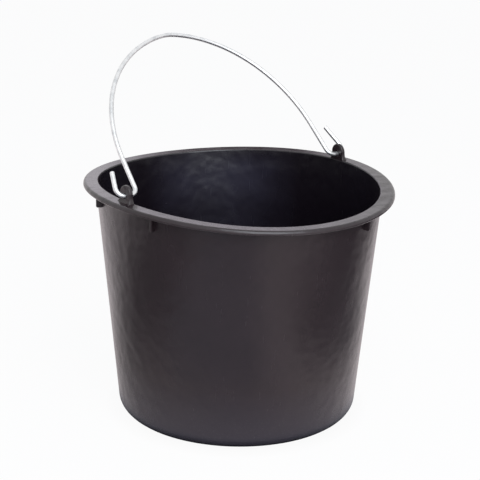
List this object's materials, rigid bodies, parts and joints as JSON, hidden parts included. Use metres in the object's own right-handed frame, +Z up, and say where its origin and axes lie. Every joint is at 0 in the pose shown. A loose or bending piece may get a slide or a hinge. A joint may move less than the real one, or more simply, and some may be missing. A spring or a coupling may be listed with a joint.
{
  "type": "cement bucket",
  "caption": "Tapered moulded builder's bucket with a flat rim flange, upstanding eye lugs and a bare bent-wire bail that swings over the rim to carry it.",
  "frame": {"origin": "centre of the standing ring, on the floor", "axes": "+Z up along the bucket's axis, +X along the bail's hinge line toward one lug, +Y the way the bail leans at rest"},
  "size_m": [0.314, 0.314, 0.3729],
  "materials": {
    "tub_plastic": "satin black recycled polyethylene, slightly scuffed",
    "bail_wire": "bright galvanised wire"
  },
  "bodies": {
    "tub": {"tub": "tub_plastic"},
    "bail": {"wire_bail": "bail_wire"}
  },
  "joints": [
    {"name": "bail_swing", "type": "hinge", "parent": "tub", "child": "bail", "pos_m": [0, 0, 0.249], "axis": [1, 0, 0], "range_deg": [-47.2, 135.8]}
  ]
}
